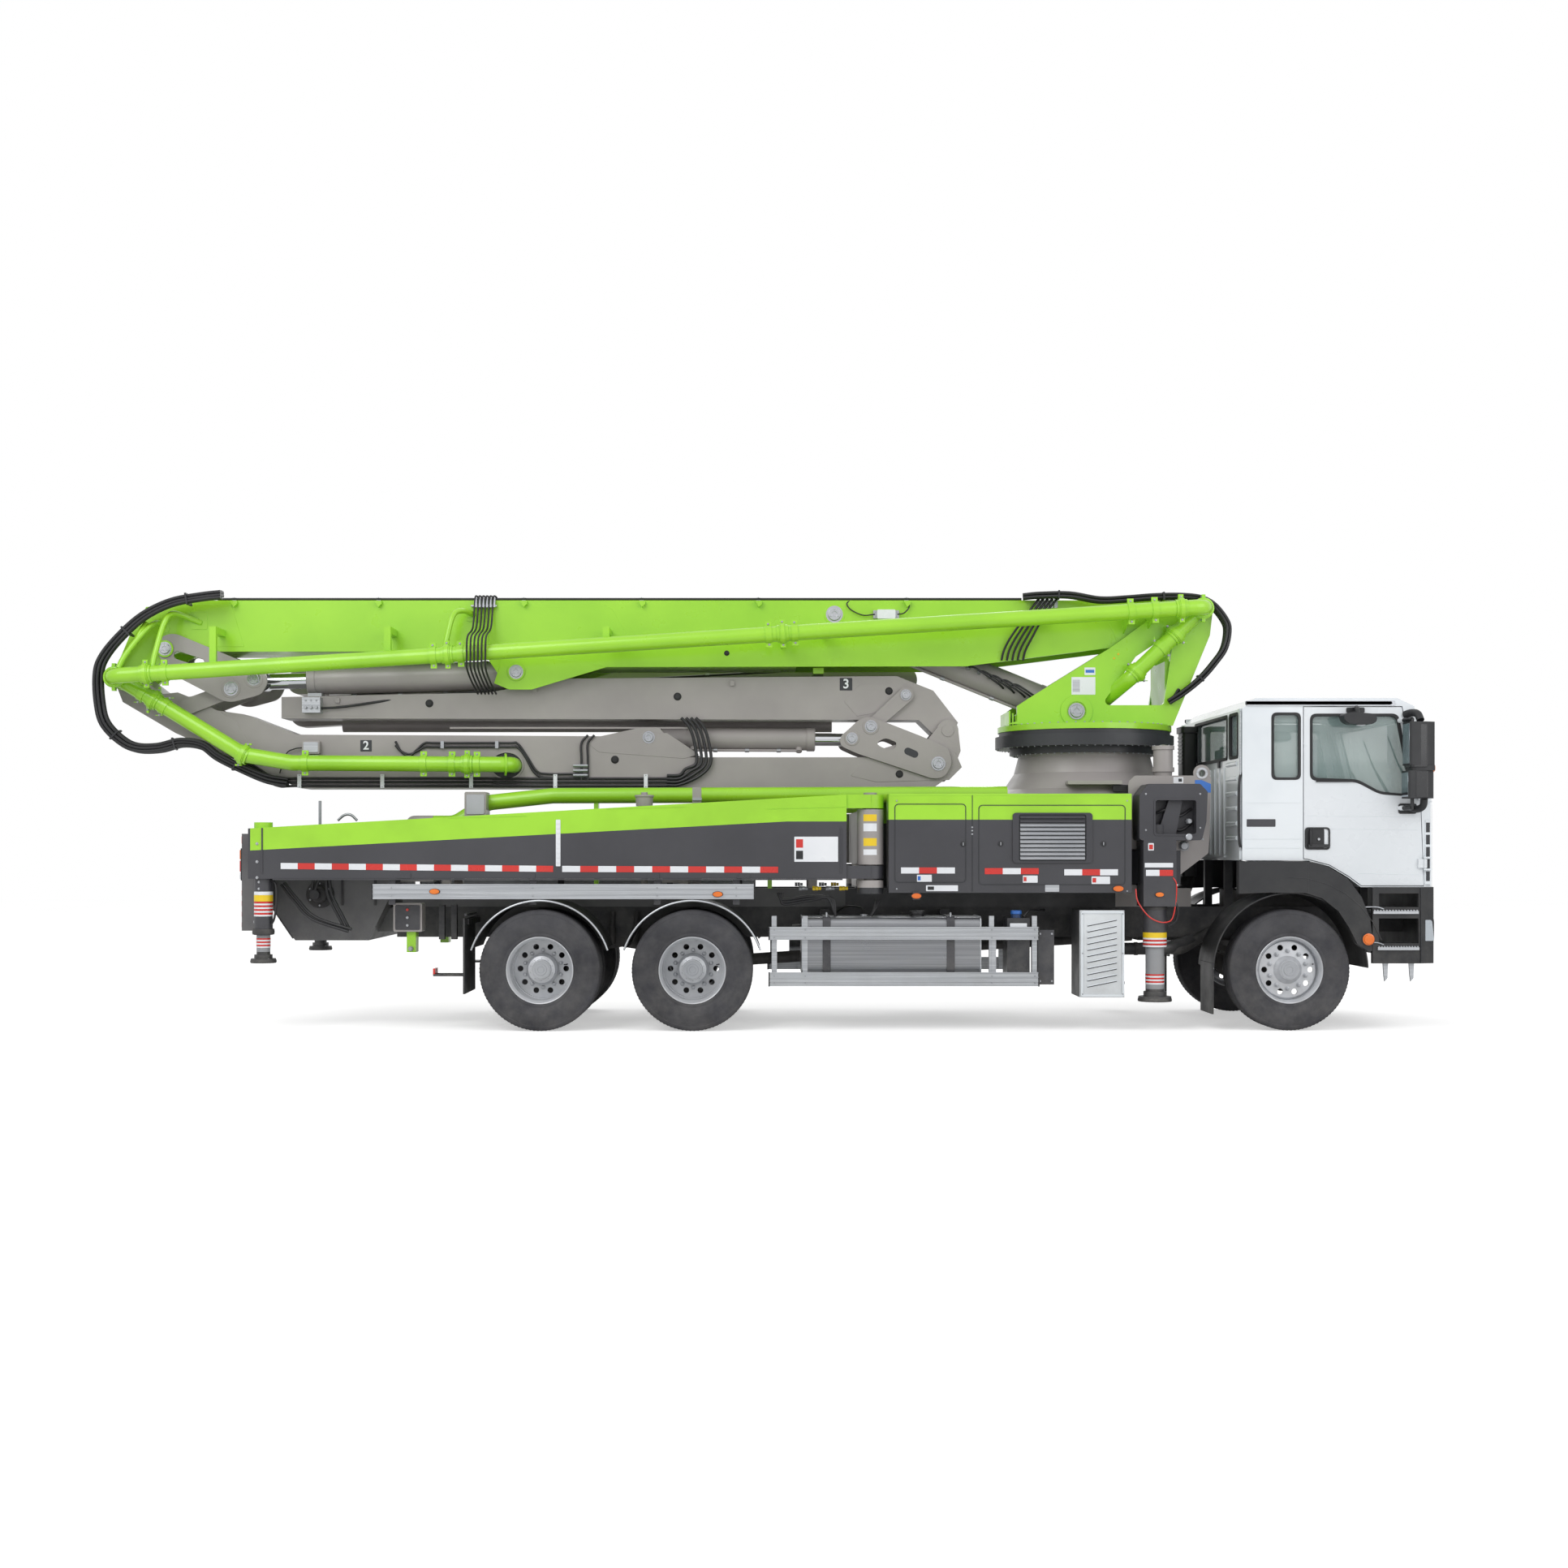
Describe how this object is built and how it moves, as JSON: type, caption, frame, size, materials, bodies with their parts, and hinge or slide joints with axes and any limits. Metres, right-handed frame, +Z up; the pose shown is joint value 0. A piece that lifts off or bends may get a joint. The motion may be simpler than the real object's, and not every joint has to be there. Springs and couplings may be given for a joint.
{
  "type": "concrete pump truck",
  "caption": "Truck-mounted concrete pump: cab-over lorry with a folding placing boom on a slewing turret, swing-out and slide-out outriggers, receiving hopper and delivery line.",
  "frame": {"origin": "ground level under the middle of the overall length and width", "axes": "+X forward towards the cab, +Y to the left of the driver, +Z up"},
  "size_m": [12.0548, 2.98, 3.957],
  "materials": {
    "aluminium": "brushed",
    "black_plastic": "moulded",
    "boom_green": "gloss paint",
    "boom_grey": "satin paint",
    "cast": "cast",
    "dark_grey": "satin paint",
    "glass": "clear",
    "light_grey": "satin paint",
    "rim_silver": "satin paint",
    "seat_fabric": "woven",
    "steel": "ground",
    "tyre": "rubber",
    "white": "gloss paint"
  },
  "bodies": {
    "base": {"chassis_frame": "dark_grey", "running_gear": "cast", "engine_block": "cast", "body_frame": "light_grey", "slewing_ring": "dark_grey", "side_housings": "boom_green", "cab_shell": "white", "cab_glass": "glass", "cab_interior": "seat_fabric", "cab_trim": "rim_silver", "mudguards": "black_plastic", "side_guards": "aluminium", "tanks": "aluminium", "exhaust_silencer": "white", "pump_unit": "dark_grey", "hopper": "light_grey", "deck_pipe": "boom_green"},
    "turret": {"turret": "boom_green"},
    "lift_barrel": {"lift_barrel": "boom_grey"},
    "lift_rod": {"lift_rod": "steel"},
    "boom_1": {"section_1": "boom_green"},
    "rocker_2": {"rocker_2": "boom_grey"},
    "fold_2_barrel": {"fold_2_barrel": "boom_grey"},
    "fold_2_rod": {"fold_2_rod": "steel"},
    "boom_2": {"section_2": "boom_grey", "delivery_pipe_2": "boom_green"},
    "rocker_3": {"rocker_3": "boom_grey"},
    "fold_3_barrel": {"fold_3_barrel": "boom_grey"},
    "fold_3_rod": {"fold_3_rod": "steel"},
    "boom_3": {"section_3": "boom_grey"},
    "boom_4": {"section_4": "boom_grey"},
    "boom_5": {"section_5": "boom_grey"},
    "boom_6": {"section_6": "boom_grey"},
    "knuckle_left": {"front_knuckle_left": "cast"},
    "front_wheel_left": {"front_rim_left": "rim_silver", "front_tyre_left": "tyre"},
    "middle_wheel_left": {"middle_rim_left": "rim_silver", "middle_tyre_left": "tyre"},
    "rear_wheel_left": {"rear_rim_left": "rim_silver", "rear_tyre_left": "tyre"},
    "cab_door_left": {"door_left": "white", "door_glass_left": "glass"},
    "front_outrigger_left": {"front_arm_left": "boom_green"},
    "front_leg_left": {"front_jack_left": "steel"},
    "rear_outrigger_left": {"swing_arm_left": "boom_green"},
    "rear_leg_left": {"rear_jack_left": "steel"},
    "knuckle_right": {"front_knuckle_right": "cast"},
    "front_wheel_right": {"front_rim_right": "rim_silver", "front_tyre_right": "tyre"},
    "middle_wheel_right": {"middle_rim_right": "rim_silver", "middle_tyre_right": "tyre"},
    "rear_wheel_right": {"rear_rim_right": "rim_silver", "rear_tyre_right": "tyre"},
    "cab_door_right": {"door_right": "white", "door_glass_right": "glass"},
    "front_outrigger_right": {"front_arm_right": "boom_green"},
    "front_leg_right": {"front_jack_right": "steel"},
    "rear_outrigger_right": {"swing_arm_right": "boom_green"},
    "rear_leg_right": {"rear_jack_right": "steel"}
  },
  "joints": [
    {"name": "boom_lift", "type": "hinge", "parent": "turret", "child": "boom_1", "pos_m": [4.086, 0, 3.827], "axis": [0, 1, 0], "range_deg": [0, 88]},
    {"name": "boom_slew", "type": "hinge", "parent": "base", "child": "turret", "pos_m": [3.081, 0, 2.7], "axis": [0, 0, 1], "range_deg": [-270, 270]},
    {"name": "lift_barrel_swing", "type": "hinge", "parent": "turret", "child": "lift_barrel", "pos_m": [2.95, 0, 2.894], "axis": [0, 1, 0], "range_deg": [0, 82]},
    {"name": "lift_rod_slide", "type": "slide", "parent": "lift_barrel", "child": "lift_rod", "axis": [-0.927, 0, 0.3752], "range_m": [0, 1.95]},
    {"name": "boom_fold_2", "type": "hinge", "parent": "boom_1", "child": "boom_2", "pos_m": [-5.93, 0, 3.194], "axis": [0, 1, 0], "range_deg": [0, 180]},
    {"name": "rocker_2_swing", "type": "hinge", "parent": "boom_1", "child": "rocker_2", "pos_m": [-5.526, 0, 3.477], "axis": [0, 1, 0], "range_deg": [0, 125]},
    {"name": "fold_2_barrel_swing", "type": "hinge", "parent": "boom_1", "child": "fold_2_barrel", "pos_m": [-2.263, 0, 3.265], "axis": [0, 1, 0], "range_deg": [-11, 3]},
    {"name": "fold_2_rod_slide", "type": "slide", "parent": "fold_2_barrel", "child": "fold_2_rod", "axis": [-0.9996, 0, -0.0279], "range_m": [0, 1.55]},
    {"name": "boom_fold_3", "type": "hinge", "parent": "boom_2", "child": "boom_3", "pos_m": [1.768, 0, 2.723], "axis": [0, 1, 0], "range_deg": [0, 180]},
    {"name": "rocker_3_swing", "type": "hinge", "parent": "boom_2", "child": "rocker_3", "pos_m": [1.677, 0, 2.412], "axis": [0, 1, 0], "range_deg": [0, 120]},
    {"name": "fold_3_barrel_swing", "type": "hinge", "parent": "boom_2", "child": "fold_3_barrel", "pos_m": [-1.032, 0, 2.66], "axis": [0, 1, 0], "range_deg": [-14, 3]},
    {"name": "fold_3_rod_slide", "type": "slide", "parent": "fold_3_barrel", "child": "fold_3_rod", "axis": [1, 0, -0.0053], "range_m": [0, 1.2]},
    {"name": "boom_fold_4", "type": "hinge", "parent": "boom_3", "child": "boom_4", "pos_m": [-4.4, 0.46, 2.935], "axis": [0, -1, 0], "range_deg": [0, 180]},
    {"name": "boom_fold_5", "type": "hinge", "parent": "boom_4", "child": "boom_5", "pos_m": [1.4, 0.68, 3.25], "axis": [0, 1, 0], "range_deg": [0, 180]},
    {"name": "boom_fold_6", "type": "hinge", "parent": "boom_5", "child": "boom_6", "pos_m": [-4.5, 0.88, 3.25], "axis": [0, -1, 0], "range_deg": [0, 180]},
    {"name": "front_outrigger_slide_left", "type": "slide", "parent": "base", "child": "front_outrigger_left", "axis": [0.5, 0.866, 0], "range_m": [0, 1.45]},
    {"name": "front_leg_slide_left", "type": "slide", "parent": "front_outrigger_left", "child": "front_leg_left", "axis": [0, 0, -1], "range_m": [0, 0.45]},
    {"name": "rear_outrigger_swing_left", "type": "hinge", "parent": "base", "child": "rear_outrigger_left", "pos_m": [0.993, 1.08, 1.7], "axis": [0, 0, -1], "range_deg": [0, 78]},
    {"name": "rear_leg_slide_left", "type": "slide", "parent": "rear_outrigger_left", "child": "rear_leg_left", "axis": [0, 0, -1], "range_m": [0, 0.75]},
    {"name": "cab_door_left", "type": "hinge", "parent": "base", "child": "cab_door_left", "pos_m": [5.892, 1.232, 2], "axis": [0, 0, -1], "range_deg": [0, 75]},
    {"name": "front_outrigger_slide_right", "type": "slide", "parent": "base", "child": "front_outrigger_right", "axis": [0.5, -0.866, 0], "range_m": [0, 1.45]},
    {"name": "front_leg_slide_right", "type": "slide", "parent": "front_outrigger_right", "child": "front_leg_right", "axis": [0, 0, -1], "range_m": [0, 0.45]},
    {"name": "rear_outrigger_swing_right", "type": "hinge", "parent": "base", "child": "rear_outrigger_right", "pos_m": [0.993, -1.08, 1.7], "axis": [0, 0, 1], "range_deg": [0, 78]},
    {"name": "rear_leg_slide_right", "type": "slide", "parent": "rear_outrigger_right", "child": "rear_leg_right", "axis": [0, 0, -1], "range_m": [0, 0.75]},
    {"name": "cab_door_right", "type": "hinge", "parent": "base", "child": "cab_door_right", "pos_m": [5.892, -1.232, 2], "axis": [0, 0, 1], "range_deg": [0, 75]},
    {"name": "steer_right", "type": "hinge", "parent": "base", "child": "knuckle_right", "pos_m": [4.71, -0.83, 0.538], "axis": [0, 0, 1], "range_deg": [-32, 32]},
    {"name": "front_wheel_spin_right", "type": "hinge", "parent": "knuckle_right", "child": "front_wheel_right", "pos_m": [4.71, -1.035, 0.538], "axis": [0, 1, 0], "continuous": true},
    {"name": "middle_wheel_spin_right", "type": "hinge", "parent": "base", "child": "middle_wheel_right", "pos_m": [-0.59, -0.918, 0.538], "axis": [0, 1, 0], "continuous": true},
    {"name": "rear_wheel_spin_right", "type": "hinge", "parent": "base", "child": "rear_wheel_right", "pos_m": [-1.94, -0.918, 0.538], "axis": [0, 1, 0], "continuous": true},
    {"name": "steer_left", "type": "hinge", "parent": "base", "child": "knuckle_left", "pos_m": [4.71, 0.83, 0.538], "axis": [0, 0, 1], "range_deg": [-32, 32]},
    {"name": "front_wheel_spin_left", "type": "hinge", "parent": "knuckle_left", "child": "front_wheel_left", "pos_m": [4.71, 1.035, 0.538], "axis": [0, 1, 0], "continuous": true},
    {"name": "middle_wheel_spin_left", "type": "hinge", "parent": "base", "child": "middle_wheel_left", "pos_m": [-0.59, 0.918, 0.538], "axis": [0, 1, 0], "continuous": true},
    {"name": "rear_wheel_spin_left", "type": "hinge", "parent": "base", "child": "rear_wheel_left", "pos_m": [-1.94, 0.918, 0.538], "axis": [0, 1, 0], "continuous": true}
  ],
  "couplings": [
    {"joint": "boom_slew", "follows": "boom_lift", "ratio": 1.0227},
    {"joint": "lift_barrel_swing", "follows": "boom_lift", "ratio": 0.9194},
    {"joint": "lift_rod_slide", "follows": "boom_lift", "m_per_rad": 1.26},
    {"joint": "boom_fold_2", "follows": "boom_lift", "ratio": 0.25},
    {"joint": "rocker_2_swing", "follows": "boom_lift", "ratio": 0.207},
    {"joint": "fold_2_barrel_swing", "follows": "boom_lift", "ratio": -0.062},
    {"joint": "fold_2_rod_slide", "follows": "boom_lift", "m_per_rad": 0.0925},
    {"joint": "boom_fold_3", "follows": "boom_lift", "ratio": 0.03},
    {"joint": "rocker_3_swing", "follows": "boom_lift", "ratio": 0.0225},
    {"joint": "fold_3_barrel_swing", "follows": "boom_lift", "ratio": -0.0093},
    {"joint": "fold_3_rod_slide", "follows": "boom_lift", "m_per_rad": 0.006},
    {"joint": "steer_left", "follows": "steer_right", "ratio": 1}
  ]
}
